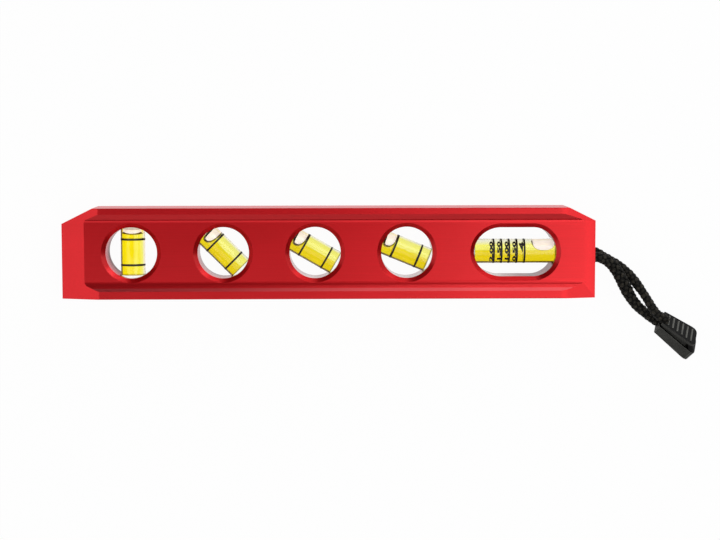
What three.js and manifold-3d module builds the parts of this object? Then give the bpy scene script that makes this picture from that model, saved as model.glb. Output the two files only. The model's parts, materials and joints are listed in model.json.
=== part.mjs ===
// Pocket spirit level: a milled aluminium bar with five windows, a bubble vial across each one,
// magnets in a V groove along its base edge and a short braided cord loop at one end.
// Lengths are in millimetres. The level lies on its back: X runs along the bar to the cord,
// Y from the base edge to the top edge and Z out of the front face. The origin is on the back
// face, under the middle of the bar.
import * as THREE from "three";
import { mergeVertices } from "three/addons/utils/BufferGeometryUtils.js";
import Module from "manifold-3d";

const wasm = await Module();
wasm.setup();

// Bar and its I section
const barLength = 196.85;
const barHeight = 33.5;
const barThickness = 19.05;
const webRecess = 1.8;
const topFlangeFace = 2.25;
const topSlopeRise = 2.3;
const topRootRun = 0.8;
const baseFlangeFace = 2.9;
const baseSlopeRise = 2.3;
const baseRootRun = 1.2;
const edgeBreak = 0.25;
const grooveWidth = 9.6;
const grooveDepth = 3.2;

// Ends of the bar: a bevel on both faces and a cut top corner
const leftBevelRun = 13.9;
const leftBevelDepth = 4.7;
const leftBevelBlend = 1.0;
const rightBevelRun = 11.7;
const rightBevelDepth = 2.95;
const rightBevelBlend = 3.0;
const leftCutRun = 11.8;
const leftCutDrop = 5.85;
const rightCutRun = 10.0;
const rightCutDrop = 4.95;

// Windows
const windowDiameter = 18.95;
const windowRise = 0.2;
const windowChamfer = 1.5;
const firstWindowInset = 25.7;
const levelWindowInset = 28.95;
const levelWindowLength = 30.7;
const levelWindowWeb = 15.9;

// Vials
const vialDiameter = 9.0;
const vialSeat = 1.5;
const vialEndBreak = 0.4;
const seatClearance = 0.3;
const chamberDiameter = 6.5;
const barrelRise = 0.12;
const angleEndWall = 2.4;
const levelEndWall = 1.9;
const plugLength = 1.6;
const liquidClearance = 0.15;
const lineWidth = 0.55;
const lineHeight = 0.12;
const lineClearance = 0.05;
const angleLineSpacing = 9.5;
const levelLineSpacing = 2.84;
const levelLineShift = 2.65;

// Bubbles: length along the vial, depth down from the chamber's upper side, width across
const bubbleClearance = 0.3;
const bubbleWidth = 4.2;
const bubbleDepth = 3.2;
const angleBubbleLength = 4.3;
const angleBubbleEndShare = 0.6;
const upright = { length: 2.6, width: 4.6 };
const levelBubbleLength = 8.6;

// Magnets
const magnetDiameter = 8.0;
const magnetLength = 3.0;
const magnetSink = 0.4;

// Cord, the pin that holds it and the mouth that it comes out of
const cordDiameter = 3.7;
const cordMouthDrop = 1.3;
const bightTwist = 1.55;
const pinDiameter = 2.5;
const pinReach = 4.0;
const pinSink = 1.0;
const pinSetback = 5.2;

// Clip on the cord's end
const clipLength = 15.1;
const clipBackReach = 1.6;
const clipBackLead = 0.4;
const clipNearWidth = 7.3;
const clipFarWidth = 9.7;
const clipBackNear = 3.5;
const clipBackFar = 4.3;
const clipFrontNear = 1.1;
const clipFrontFar = 0.9;
const clipGrooveNear = 1.0;
const clipGrooveFar = 2.4;
const clipMouth = { y: -0.6, z: 1.4, ease: 0.25 };
const clipFarRound = 2.2;
const clipNearRound = 0.9;
const clipCoreInset = 1.2;
const clipCoreSink = 0.9;
const ribCount = 6;
const ribPitch = 2.1;
const ribStart = 2.5;
const ribWidth = 0.7;
const ribHeight = 0.3;
const ribInset = 1.15;
const clipSpot = { x: 26.0, y: -24.62, z: -0.68 };
const clipHeadingDegrees = -34.2;
const clipPitchDegrees = 6.2;
const clipRollDegrees = 54;

// How far a cutter runs past what it cuts
const overrun = 1.0;

const windowSides = 60;
const vialSides = 24;
const filletSteps = 4;
const bubbleSides = 16;
const bubbleRows = 8;
const cordSides = 8;
const bightSteps = 22;
const strandSteps = 14;
const bightTurns = 12;

const barMiddleZ = barThickness / 2;
const halfLength = barLength / 2;
const halfHeight = barHeight / 2;
const windowRadius = windowDiameter / 2;
const vialRadius = vialDiameter / 2;
const chamberRadius = chamberDiameter / 2;
const levelWindowX = halfLength - levelWindowInset;
const firstWindowX = firstWindowInset - halfLength;
const lastWindowX = levelWindowX - levelWindowLength / 2 - levelWindowWeb - windowRadius;
const windowPitch = (lastWindowX - firstWindowX) / 3;
const grooveBottomY = grooveDepth - halfHeight;

// The four round windows' vials lean towards the cord, each at its own angle to the base edge.
const vials = [
  { name: "vial_90", slopeDegrees: 90 },
  { name: "vial_45", slopeDegrees: 45 },
  { name: "vial_30", slopeDegrees: 30 },
  { name: "vial_22", slopeDegrees: 22.5 },
].map((vial, i) => ({
  ...vial,
  x: firstWindowX + i * windowPitch,
  turn: THREE.MathUtils.degToRad(90 - vial.slopeDegrees),
  halfLength: windowRadius + vialSeat,
  endWall: angleEndWall,
  lines: [angleLineSpacing / 2, -angleLineSpacing / 2],
  bubbleLength: vial.slopeDegrees === 90 ? upright.length : angleBubbleLength,
  bubbleWidth: vial.slopeDegrees === 90 ? upright.width : bubbleWidth,
  centred: vial.slopeDegrees === 90,
  endShare: vial.slopeDegrees === 90 ? 1 : angleBubbleEndShare,
  bubbleAtPlug: true,
}));
vials.push({
  name: "vial_level",
  x: levelWindowX,
  turn: Math.PI / 2,
  halfLength: levelWindowLength / 2 + vialSeat,
  endWall: levelEndWall,
  lines: [2, 1, 0, -1, -2].map((step) => levelLineShift + step * levelLineSpacing),
  bubbleLength: levelBubbleLength,
  bubbleWidth,
  centred: false,
  endShare: 0,
  bubbleAtPlug: false,
});

const materials = {
  bar: new THREE.MeshStandardMaterial({ color: 0xc9212b, roughness: 0.35, metalness: 0.7 }),
  acrylic: new THREE.MeshStandardMaterial({
    color: 0xf4f6ee, roughness: 0.05, metalness: 0, transparent: true, opacity: 0.35,
  }),
  liquid: new THREE.MeshStandardMaterial({
    color: 0xfae033, roughness: 0.1, metalness: 0, transparent: true, opacity: 0.8,
  }),
  bubble: new THREE.MeshStandardMaterial({
    color: 0xfff6ee, roughness: 0.05, metalness: 0, transparent: true, opacity: 0.5,
  }),
  line: new THREE.MeshStandardMaterial({ color: 0x15130c, roughness: 0.6, metalness: 0 }),
  magnet: new THREE.MeshStandardMaterial({ color: 0xb9bcc0, roughness: 0.3, metalness: 1 }),
  pin: new THREE.MeshStandardMaterial({ color: 0x9a9da1, roughness: 0.35, metalness: 1 }),
  cord: new THREE.MeshStandardMaterial({ color: 0x121212, roughness: 0.9, metalness: 0 }),
  clip: new THREE.MeshStandardMaterial({ color: 0x2b2b2c, roughness: 0.55, metalness: 0 }),
};

// A closed three.js geometry as a solid that can be joined and cut.
function solid(geometry) {
  const bare = geometry.clone();
  bare.deleteAttribute("normal");
  bare.deleteAttribute("uv");
  const merged = mergeVertices(bare);
  return new wasm.Manifold(
    new wasm.Mesh({
      numProp: 3,
      vertProperties: merged.attributes.position.array,
      triVerts: new Uint32Array(merged.index.array),
    }),
  );
}

// A solid back as a flat-shaded geometry.
function geometryOf(body) {
  const mesh = body.getMesh();
  const indexed = new THREE.BufferGeometry();
  indexed.setAttribute("position", new THREE.BufferAttribute(mesh.vertProperties, 3));
  indexed.setIndex(new THREE.BufferAttribute(mesh.triVerts, 1));
  const flat = indexed.toNonIndexed();
  flat.computeVertexNormals();
  return flat;
}

function addPiece(parent, name, shape, material) {
  const geometry = shape.isBufferGeometry ? shape : geometryOf(shape);
  const mesh = new THREE.Mesh(geometry, material);
  mesh.name = name;
  parent.add(mesh);
  return mesh;
}

// An outline in X and Y, pushed along Z between two heights.
function prism(outline, low, high) {
  const shape = Array.isArray(outline)
    ? new THREE.Shape(outline.map(([x, y]) => new THREE.Vector2(x, y)))
    : outline;
  const geometry = new THREE.ExtrudeGeometry(shape, {
    depth: high - low,
    bevelEnabled: false,
    curveSegments: filletSteps,
  });
  geometry.translate(0, 0, low);
  return geometry;
}

// A closed profile of [radius, height] points, turned about Y.
function turned(profile, sides) {
  return new THREE.LatheGeometry(profile.map(([r, y]) => new THREE.Vector2(r, y)), sides);
}

function cylinder(radius, low, high, sides) {
  return turned([[0, low], [radius, low], [radius, high], [0, high]], sides);
}

// The bar's section, with Y up the page and Z across it, drawn once round.
function barSection() {
  const shape = new THREE.Shape();
  const topFaceY = halfHeight - topFlangeFace;
  const webTopY = topFaceY - topSlopeRise;
  const baseFaceY = baseFlangeFace - halfHeight;
  const webBaseY = baseFaceY + baseSlopeRise;
  // One face from the base edge to the top edge; side is 1 at the front and -1 at the back.
  const face = (side) => {
    const at = (y, depth) => [y, barMiddleZ + side * (barMiddleZ - depth)];
    const slopeAt = (y, edgeY, rise) => (webRecess * Math.abs(y - edgeY)) / rise;
    const baseRootY = webBaseY - baseRootRun / 2;
    const topRootY = webTopY + topRootRun / 2;
    return [
      { to: at(-halfHeight, edgeBreak) },
      { to: at(edgeBreak - halfHeight, 0) },
      { to: at(baseFaceY, 0) },
      { to: at(baseRootY, slopeAt(baseRootY, baseFaceY, baseSlopeRise)) },
      { to: at(webBaseY + baseRootRun, webRecess), by: at(webBaseY, webRecess) },
      { to: at(webTopY - topRootRun, webRecess) },
      { to: at(topRootY, slopeAt(topRootY, topFaceY, topSlopeRise)), by: at(webTopY, webRecess) },
      { to: at(topFaceY, 0) },
      { to: at(halfHeight - edgeBreak, 0) },
      { to: at(halfHeight, edgeBreak) },
    ];
  };
  const front = face(1);
  const back = face(-1);
  shape.moveTo(...front[0].to);
  front.slice(1).forEach(({ to, by }) => (by ? shape.quadraticCurveTo(...by, ...to) : shape.lineTo(...to)));
  shape.lineTo(...back[back.length - 1].to);
  for (let i = back.length - 2; i >= 0; i -= 1) {
    const curve = back[i + 1].by;
    if (curve) shape.quadraticCurveTo(...curve, ...back[i].to);
    else shape.lineTo(...back[i].to);
  }
  shape.lineTo(-halfHeight, barMiddleZ - grooveWidth / 2);
  shape.lineTo(grooveBottomY, barMiddleZ);
  shape.lineTo(-halfHeight, barMiddleZ + grooveWidth / 2);
  shape.closePath();
  return shape;
}

// The bar before its windows: the section drawn in X and Y is stood along the bar.
function barBlank() {
  const blank = prism(barSection(), -halfLength, halfLength);
  // Page X becomes Y, page Y becomes Z and the push becomes X.
  blank.applyMatrix4(new THREE.Matrix4().set(0, 0, 1, 0, 1, 0, 0, 0, 0, 1, 0, 0, 0, 0, 0, 1));
  return solid(blank);
}

// What an end bevel takes off both faces. end is -1 at the left and 1 at the right.
function endBevel(end, run, depth, blend) {
  const outside = halfLength + overrun;
  const startX = halfLength - run;
  const slope = depth / run;
  const outline = new THREE.Shape();
  outline.moveTo(startX - blend / 2, 0);
  outline.quadraticCurveTo(startX, 0, startX + blend / 2, (slope * blend) / 2);
  outline.lineTo(outside, slope * (outside - startX));
  outline.lineTo(outside, -overrun);
  outline.lineTo(startX - blend / 2, -overrun);
  outline.closePath();
  const wedge = prism(outline, -halfHeight - overrun, halfHeight + overrun);
  // Page Y is the depth below a face, and the push runs along the bar's height.
  const back = wedge.clone().applyMatrix4(
    new THREE.Matrix4().set(1, 0, 0, 0, 0, 0, -1, 0, 0, 1, 0, 0, 0, 0, 0, 1),
  );
  const front = wedge.clone().applyMatrix4(
    new THREE.Matrix4().set(1, 0, 0, 0, 0, 0, 1, 0, 0, -1, 0, barThickness, 0, 0, 0, 1),
  );
  const pair = [back, front].map((half) => (end > 0 ? half : half.rotateZ(Math.PI)));
  return solid(pair[0]).add(solid(pair[1]));
}

// What a cut top corner takes off.
function cornerCut(end, run, drop) {
  const grade = drop / run;
  const outline = [
    [halfLength - run - overrun, halfHeight + overrun * grade],
    [halfLength + overrun, halfHeight - drop - overrun * grade],
    [halfLength + overrun, halfHeight + overrun],
    [halfLength - run - overrun, halfHeight + overrun],
  ].map(([x, y]) => [end * x, y]);
  if (end < 0) outline.reverse();
  return solid(prism(outline, -overrun, barThickness + overrun));
}

// An outline with round ends, or a circle where its length is its width.
function obround(length, width, sides) {
  const radius = width / 2;
  const reach = (length - width) / 2;
  const points = [];
  for (let i = 0; i < sides; i += 1) {
    const angle = ((i + 0.5) / sides) * 2 * Math.PI - Math.PI / 2;
    points.push([radius * Math.cos(angle) + (i < sides / 2 ? reach : -reach), radius * Math.sin(angle)]);
  }
  return points;
}

// A window's bore with a chamfer where it meets the web on each face.
function windowCutter(x, length) {
  const layers = [
    { z: -overrun, grow: windowChamfer + webRecess + overrun },
    { z: webRecess + windowChamfer, grow: 0 },
    { z: barThickness - webRecess - windowChamfer, grow: 0 },
    { z: barThickness + overrun, grow: windowChamfer + webRecess + overrun },
  ];
  const rings = layers.map(({ z, grow }) =>
    obround(length + 2 * grow, windowDiameter + 2 * grow, windowSides).map(([px, py]) => [
      x + px,
      windowRise + py,
      z,
    ]),
  );
  return solid(stacked(rings));
}

// A closed skin over rings of points that run anticlockwise, from the lowest ring to the highest.
function stacked(rings) {
  const count = rings[0].length;
  const positions = rings.flat(2);
  const index = [];
  rings.slice(1).forEach((_, ring) => {
    for (let i = 0; i < count; i += 1) {
      const a = ring * count + i;
      const b = ring * count + ((i + 1) % count);
      index.push(a, b, b + count, a, b + count, a + count);
    }
  });
  const top = (rings.length - 1) * count;
  for (let i = 1; i < count - 1; i += 1) {
    index.push(0, i + 1, i, top, top + i, top + i + 1);
  }
  const geometry = new THREE.BufferGeometry();
  geometry.setAttribute("position", new THREE.Float32BufferAttribute(positions, 3));
  geometry.setIndex(index);
  return geometry;
}

// The seat that a vial is dropped into from the back: open behind, half round in front.
function cradleCutter(vial) {
  const reach = vial.halfLength + seatClearance;
  const radius = vialRadius + seatClearance;
  const floor = cylinder(radius, -reach, reach, vialSides).rotateY(Math.PI / vialSides);
  const mouth = new THREE.BoxGeometry(2 * radius, 2 * reach, barMiddleZ + overrun);
  mouth.translate(0, 0, -(barMiddleZ + overrun) / 2);
  const cutter = [floor, mouth].map((shape) =>
    solid(shape.rotateZ(vial.turn).translate(vial.x, windowRise, barMiddleZ)),
  );
  return cutter[0].add(cutter[1]);
}

// The magnets stand in the web between the windows.
const magnetSpots = [0, 1, 2]
  .map((i) => firstWindowX + (i + 0.5) * windowPitch)
  .concat(lastWindowX + windowRadius + levelWindowWeb / 2);
const magnetFaceY = grooveBottomY + magnetSink;

function magnetCutter(x) {
  const hole = cylinder(
    magnetDiameter / 2 + seatClearance,
    -halfHeight - overrun,
    magnetFaceY + magnetLength + seatClearance,
    vialSides,
  );
  return solid(hole.translate(x, 0, barMiddleZ));
}

// The cord's mouth in the right end face and the pin's hole from the base edge
const cordRadius = cordDiameter / 2;
const pinRadius = pinDiameter / 2;
const bightRadius = pinRadius + seatClearance + cordRadius;
const mouthHalfZ = bightRadius + cordRadius + 2 * seatClearance;
const mouthWidth = cordDiameter + bightTwist + 2 * seatClearance;
const mouthDepth = pinSetback + bightRadius + cordRadius + seatClearance;
const pinX = halfLength - pinSetback;
const pinTopY = -cordMouthDrop + mouthWidth / 2 + pinReach;

function mouthCutter() {
  const outline = obround(2 * mouthHalfZ, mouthWidth, vialSides);
  const hole = prism(outline, halfLength - mouthDepth, halfLength + overrun);
  // Page X lies along Z, page Y along Y and the push along X.
  return solid(hole.rotateY(Math.PI / 2).translate(0, -cordMouthDrop, barMiddleZ));
}

function pinCutter() {
  const hole = cylinder(pinRadius + seatClearance, -halfHeight - overrun, pinTopY + seatClearance, vialSides);
  return solid(hole.translate(pinX, 0, barMiddleZ));
}

function makeBar() {
  let bar = barBlank();
  const cutters = [
    endBevel(-1, leftBevelRun, leftBevelDepth, leftBevelBlend),
    endBevel(1, rightBevelRun, rightBevelDepth, rightBevelBlend),
    cornerCut(-1, leftCutRun, leftCutDrop),
    cornerCut(1, rightCutRun, rightCutDrop),
    ...vials.map((vial) => windowCutter(vial.x, 2 * (vial.halfLength - vialSeat))),
    ...vials.map(cradleCutter),
    ...magnetSpots.map(magnetCutter),
    mouthCutter(),
    pinCutter(),
  ];
  cutters.forEach((cutter) => {
    bar = bar.subtract(cutter);
  });
  return bar;
}

// A vial stands on its closed end in its own frame, with Y along it and X to its upper side.
function tubeProfile(vial) {
  const { halfLength: reach, endWall } = vial;
  const floorY = endWall - reach;
  const middleY = (floorY + reach - plugLength) / 2;
  return [
    [0, -reach],
    [vialRadius - vialEndBreak, -reach],
    [vialRadius, vialEndBreak - reach],
    [vialRadius, reach - vialEndBreak],
    [vialRadius - vialEndBreak, reach],
    [chamberRadius, reach],
    [chamberRadius, reach - plugLength],
    [chamberRadius + barrelRise, middleY],
    [chamberRadius, floorY],
    [0, floorY],
  ];
}

function liquidSolid(vial) {
  const low = vial.endWall - vial.halfLength + liquidClearance;
  const high = vial.halfLength - plugLength - liquidClearance;
  const fill = turned(
    [
      [0, low],
      [chamberRadius - liquidClearance, low],
      [chamberRadius + barrelRise - liquidClearance, (low + high) / 2],
      [chamberRadius - liquidClearance, high],
      [0, high],
    ],
    vialSides,
  );
  return solid(fill).subtract(bubblePath(vial));
}

// A bubble rests against one end of its chamber, on the upper side.
function bubbleSpot(vial) {
  const chamberLow = vial.endWall - vial.halfLength + bubbleClearance;
  const chamberHigh = vial.halfLength - plugLength - bubbleClearance;
  const end = vial.bubbleAtPlug ? 1 : -1;
  const face = vial.bubbleAtPlug ? chamberHigh : chamberLow;
  const roof = chamberRadius - bubbleClearance;
  return {
    end,
    face,
    roof,
    offset: vial.centred ? 0 : roof - bubbleDepth / 2,
    depth: vial.centred ? vial.bubbleWidth : bubbleDepth,
    travel: chamberHigh - chamberLow - vial.bubbleLength,
  };
}

// An egg shape cut off by the chamber's end and by its upper side.
function bubbleSolid(vial) {
  const { end, face, roof, offset, depth } = bubbleSpot(vial);
  const halfSpan = vial.bubbleLength / (2 - vial.endShare);
  const egg = new THREE.SphereGeometry(1, bubbleSides, bubbleRows);
  egg.scale(depth / 2, halfSpan, vial.bubbleWidth / 2);
  egg.translate(offset, face - end * (vial.bubbleLength - halfSpan), 0);
  const inner = face - end * (vial.bubbleLength + overrun);
  const room = cylinder(roof, Math.min(face, inner), Math.max(face, inner), vialSides);
  return solid(egg).intersect(solid(room));
}

// The way that a bubble takes through its liquid, open at the chamber's ends.
function bubblePath(vial) {
  const { offset, depth } = bubbleSpot(vial);
  const path = cylinder(1, -vial.halfLength, vial.halfLength, vialSides);
  path.scale(depth / 2 + bubbleClearance, 1, vial.bubbleWidth / 2 + bubbleClearance);
  path.translate(offset, 0, 0);
  return solid(path);
}

function lineRing(height) {
  const inner = vialRadius + lineClearance;
  const outer = inner + lineHeight;
  const low = height - lineWidth / 2;
  const high = height + lineWidth / 2;
  return turned([[inner, low], [outer, low], [outer, high], [inner, high], [inner, low]], vialSides);
}

function makeVial(vial) {
  const group = new THREE.Group();
  group.position.set(vial.x, windowRise, barMiddleZ);
  group.rotation.z = vial.turn;
  const plugRadius = chamberRadius - seatClearance;
  const plug = cylinder(plugRadius, vial.halfLength - plugLength, vial.halfLength, vialSides);
  addPiece(group, vial.name + "_tube", solid(turned(tubeProfile(vial), vialSides)), materials.acrylic);
  addPiece(group, vial.name + "_plug", solid(plug), materials.acrylic);
  addPiece(group, vial.name + "_liquid", liquidSolid(vial), materials.liquid);
  addPiece(group, vial.name + "_bubble", bubbleSolid(vial), materials.bubble);
  vial.lines.forEach((height, i) => {
    addPiece(group, vial.name + "_line_" + (i + 1), solid(lineRing(height)), materials.line);
  });
  return group;
}

// A round tube along a smooth curve through points.
function tube(points, steps) {
  const curve = new THREE.CatmullRomCurve3(points.map(([x, y, z]) => new THREE.Vector3(x, y, z)));
  const section = new THREE.Shape(
    Array.from({ length: cordSides }, (_, i) => {
      const angle = (i / cordSides) * 2 * Math.PI;
      return new THREE.Vector2(cordRadius * Math.cos(angle), cordRadius * Math.sin(angle));
    }),
  );
  return new THREE.ExtrudeGeometry(section, { steps, extrudePath: curve, bevelEnabled: false });
}

// The cord's turn round its pin, inside the bar.
function bightPoints() {
  const endX = -seatClearance;
  const points = [[endX, bightTwist / 2, -bightRadius]];
  for (let i = 0; i <= bightTurns; i += 1) {
    const share = i / bightTurns;
    const angle = -Math.PI / 2 - share * Math.PI;
    const x = -pinSetback + bightRadius * Math.cos(angle);
    points.push([x, bightTwist * (0.5 - share), bightRadius * Math.sin(angle)]);
  }
  points.push([endX, -bightTwist / 2, bightRadius]);
  return points;
}

// The two free strands, from the mouth to the clip, measured from the middle of the mouth.
const upperStrandRoute = [
  [0, 0.75, -3.4],
  [1.6, 0.6, -3.35],
  [3.94, -0.75, -3.15],
  [7.08, -2.51, -2.85],
  [9.97, -4.19, -2.6],
  [12.67, -6.38, -2.45],
  [14.66, -8.34, -2.2],
  [16.78, -11.12, -1.3],
  [18.6, -13.75, -0.1],
  [20.4, -16.65, 1.0],
  [22.2, -19.7, 1.6],
  [24.01, -22.05, 1.25],
  [26.97, -24.33, 0.56],
];
const lowerStrandRoute = [
  [0, -0.7, 3.4],
  [1.7, -0.78, 3.2],
  [3.78, -1.44, 2.5],
  [6.0, -2.72, 1.75],
  [7.76, -4.47, 1.35],
  [9.39, -6.71, 1.1],
  [10.81, -9.34, 0.75],
  [12.02, -11.58, 0.3],
  [13.38, -14.06, -0.4],
  [15.02, -16.69, -1.2],
  [16.42, -18.48, -1.7],
  [18.05, -20.23, -2.1],
  [19.64, -21.56, -2.4],
  [21.56, -23.12, -2.75],
  [23.0, -24.2, -2.87],
  [24.45, -25.16, -2.78],
];

// A length of the clip that changes evenly from its cord end to its far end.
function alongClip(near, far, x) {
  return near + ((far - near) * x) / clipLength;
}

// The clip's face, from its cord end at X zero to its reach, and a side view of one of its halves.
function clipFace(inset, reach) {
  const near = clipNearWidth / 2 - inset;
  const far = alongClip(clipNearWidth, clipFarWidth, reach) / 2 - inset;
  const farX = reach - inset;
  const shape = new THREE.Shape();
  shape.moveTo(inset, clipNearRound - near);
  shape.quadraticCurveTo(inset, -near, inset + clipNearRound, -near);
  shape.lineTo(farX - clipFarRound, -far);
  shape.quadraticCurveTo(farX, -far, farX, clipFarRound - far);
  shape.lineTo(farX, far - clipFarRound);
  shape.quadraticCurveTo(farX, far, farX - clipFarRound, far);
  shape.lineTo(inset + clipNearRound, near);
  shape.quadraticCurveTo(inset, near, inset, near - clipNearRound);
  shape.closePath();
  return shape;
}

// The part of a face between two heights, each with its value at the cord end and at the clip's length.
function clipLayer(face, low, high, reach, lead = 0) {
  const tall = clipBackFar + clipFrontFar + clipGrooveFar;
  const wide = clipFarWidth;
  // The side view's height is drawn down the page, which the turn below stands up again.
  const side = prism(
    [
      [0, -high[0]],
      [reach, -alongClip(...high, reach)],
      [reach, -alongClip(...low, reach)],
      [lead, -low[0]],
    ],
    -wide,
    wide,
  );
  side.rotateX(-Math.PI / 2);
  return solid(prism(face, -tall, tall)).intersect(solid(side));
}

// The round mouth at the cord end that the upper strand goes into.
function clipMouthCutter() {
  const radius = cordRadius + seatClearance + clipMouth.ease;
  const mouth = cylinder(radius, -overrun, clipCoreInset, vialSides).rotateZ(-Math.PI / 2);
  return solid(mouth.translate(0, clipMouth.y, clipMouth.z));
}

function clipBack() {
  const near = -clipGrooveNear / 2;
  const far = -clipGrooveFar / 2;
  const reach = clipLength + clipBackReach;
  const low = [near - clipBackNear, far - clipBackFar];
  const shell = clipLayer(clipFace(0, reach), low, [near, far], reach, clipBackLead);
  const opening = clipFace(clipCoreInset - seatClearance, clipLength);
  const floor = [near - clipCoreSink, far - clipCoreSink];
  const pocket = clipLayer(opening, floor, [0, 0], clipLength);
  return shell.subtract(pocket).subtract(clipMouthCutter());
}

function clipFront() {
  const near = clipGrooveNear / 2;
  const far = clipGrooveFar / 2;
  const face = [near + clipFrontNear, far + clipFrontFar];
  const plate = clipLayer(clipFace(0, clipLength), [near, far], face, clipLength);
  const sink = clipCoreSink - seatClearance;
  const root = [near + clipFrontNear / 2, far + clipFrontFar / 2];
  const core = clipLayer(clipFace(clipCoreInset, clipLength), [-near - sink, -far - sink], root, clipLength);
  let front = plate.add(core);
  for (let i = 0; i < ribCount; i += 1) {
    const x = ribStart + i * ribPitch;
    const width = alongClip(clipNearWidth, clipFarWidth, x);
    front = front.add(ribSolid(x, width / 2 - ribInset, alongClip(...face, x)));
  }
  return front.subtract(clipMouthCutter());
}

// A rib across the clip's face, with a round crest and its foot sunk in the face.
function ribSolid(x, reach, faceZ) {
  const crest = new THREE.Shape();
  crest.moveTo(-ribWidth / 2, ribHeight);
  crest.lineTo(-ribWidth / 2, 0);
  crest.quadraticCurveTo(0, -2 * ribHeight, ribWidth / 2, 0);
  crest.lineTo(ribWidth / 2, ribHeight);
  crest.closePath();
  const rib = prism(crest, -reach, reach).rotateX(-Math.PI / 2);
  return solid(rib.translate(x, 0, faceZ));
}

// Cord, pin and clip, measured from the middle of the mouth in the right end face.
function makeLanyard() {
  const lanyard = new THREE.Group();
  lanyard.position.set(halfLength, -cordMouthDrop, barMiddleZ);
  addPiece(lanyard, "cord_bight", solid(tube(bightPoints(), bightSteps)), materials.cord);
  addPiece(lanyard, "cord_strand_upper", solid(tube(upperStrandRoute, strandSteps)), materials.cord);
  addPiece(lanyard, "cord_strand_lower", solid(tube(lowerStrandRoute, strandSteps)), materials.cord);
  const clip = new THREE.Group();
  clip.position.set(clipSpot.x, clipSpot.y, clipSpot.z);
  clip.rotation.order = "ZYX";
  clip.rotation.set(
    THREE.MathUtils.degToRad(-clipRollDegrees),
    THREE.MathUtils.degToRad(clipPitchDegrees),
    THREE.MathUtils.degToRad(clipHeadingDegrees),
  );
  addPiece(clip, "clip_front", clipFront(), materials.clip);
  addPiece(clip, "clip_back", clipBack(), materials.clip);
  lanyard.add(clip);
  return lanyard;
}

const level = new THREE.Group();
addPiece(level, "bar", makeBar(), materials.bar);
vials.forEach((vial) => level.add(makeVial(vial)));
magnetSpots.forEach((x, i) => {
  const magnet = cylinder(magnetDiameter / 2, magnetFaceY, magnetFaceY + magnetLength, vialSides);
  addPiece(level, "magnet_" + (i + 1), solid(magnet.translate(x, 0, barMiddleZ)), materials.magnet);
});
const pin = cylinder(pinRadius, grooveBottomY + pinSink, pinTopY, vialSides);
addPiece(level, "cord_pin", solid(pin.translate(pinX, 0, barMiddleZ)), materials.pin);
level.add(makeLanyard());

export default level;
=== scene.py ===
import json
import math

import bmesh
import bpy
from mathutils import Matrix, Vector


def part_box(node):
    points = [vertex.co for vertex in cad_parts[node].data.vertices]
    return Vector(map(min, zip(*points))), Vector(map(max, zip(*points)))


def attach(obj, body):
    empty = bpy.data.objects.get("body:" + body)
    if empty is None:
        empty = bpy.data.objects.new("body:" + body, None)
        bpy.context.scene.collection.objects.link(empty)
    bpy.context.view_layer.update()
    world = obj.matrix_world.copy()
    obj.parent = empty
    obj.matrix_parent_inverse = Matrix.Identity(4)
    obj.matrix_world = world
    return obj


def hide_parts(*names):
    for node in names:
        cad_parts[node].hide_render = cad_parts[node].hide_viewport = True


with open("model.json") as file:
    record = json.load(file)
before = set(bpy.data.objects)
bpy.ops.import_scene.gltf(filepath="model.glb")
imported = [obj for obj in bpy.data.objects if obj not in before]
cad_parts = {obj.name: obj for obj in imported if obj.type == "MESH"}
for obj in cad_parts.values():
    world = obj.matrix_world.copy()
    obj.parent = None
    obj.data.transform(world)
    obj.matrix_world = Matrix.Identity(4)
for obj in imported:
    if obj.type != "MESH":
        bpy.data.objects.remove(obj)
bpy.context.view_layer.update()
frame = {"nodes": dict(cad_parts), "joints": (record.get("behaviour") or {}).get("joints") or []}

MM = 0.001
UP = Vector((0, 0, 1))
TURN = 2 * math.pi

# Camera, at the photograph's viewing angle
camera_place = Vector((0.86, 49.96, 655.53)) * MM
camera_turn = (-0.0877, -0.0167, -0.0014)
camera_lens = 87.0
camera_sensor = 36.0
camera_near = 0.05
camera_far = 20.0

# Bar
bar_low, bar_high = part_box("bar")
bar_middle_z = (bar_low.z + bar_high.z) / 2
end_face_x = bar_high.x
weld_distance = 0.002 * MM
flat_angle = math.radians(0.8)
sharp_angle = math.radians(38)
edge_round = 0.28 * MM
edge_angle = math.radians(16)
round_segments = 3
face_weight = 100
bore_reach = 9.9 * MM
bore_low = 3.0 * MM
# Where along X the bored walls' painted shade ends, their painted pale light starts and ends and their
# painted dark shade starts, and the heights over which the mouth's painted pink light comes in
shaded_wall_end = -74.0 * MM
lit_wall_start = 6.0 * MM
lit_wall_end = 62.0 * MM
dark_shade_wall_start = 71.0 * MM
lit_mouth_low = 5.0 * MM
lit_mouth_high = 15.0 * MM
wall_lean = 0.05
slope_bend = 0.05 * MM
slope_reach = bar_high.x - 14.0 * MM
slope_strips = 3
slope_edge = 0.05
slope_height = 0.8
# How far up the base slope from the flange its painted highlight reaches
highlight_rise = 0.67
base_slope = (-13.85 * MM, -12.2 * MM)
window_trims = {"right": 0.75 * MM, "left": -0.5 * MM, "top": 0.3 * MM, "base": 0.5 * MM}
window_rim_reach = 2.4 * MM

# Vials
vial_names = ("vial_90", "vial_45", "vial_30", "vial_22", "vial_level")
upright_vial = "vial_90"
level_vial = "vial_level"
vial_radius = 4.5 * MM
vial_end_round = 0.4 * MM
chamber_radius = 3.25 * MM
barrel_rise = 0.12 * MM
barrel_steps = 12
floor_sink = 0.15 * MM
plug_length = 1.6 * MM
plug_clearance = 0.12 * MM
plug_ease = 0.2 * MM
plug_sink = 0.05 * MM
line_width = 0.7 * MM
line_height = 0.05 * MM
line_clearance = 0.01 * MM
line_fade = 1.0 * MM
back_line_share = 0.2
turned_sides = 96
arc_steps = 5
acrylic_ior = 1.47
liquid_ior = 1.38

# Bubbles: their wall side stands up to 0.15 mm outside the liquid's surface
bubble_radius = 3.4 * MM
bubble_end_gap = 0.05 * MM
bubble_steps = 40
bubble_wall_steps = 6
bubble_under_steps = 8

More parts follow.
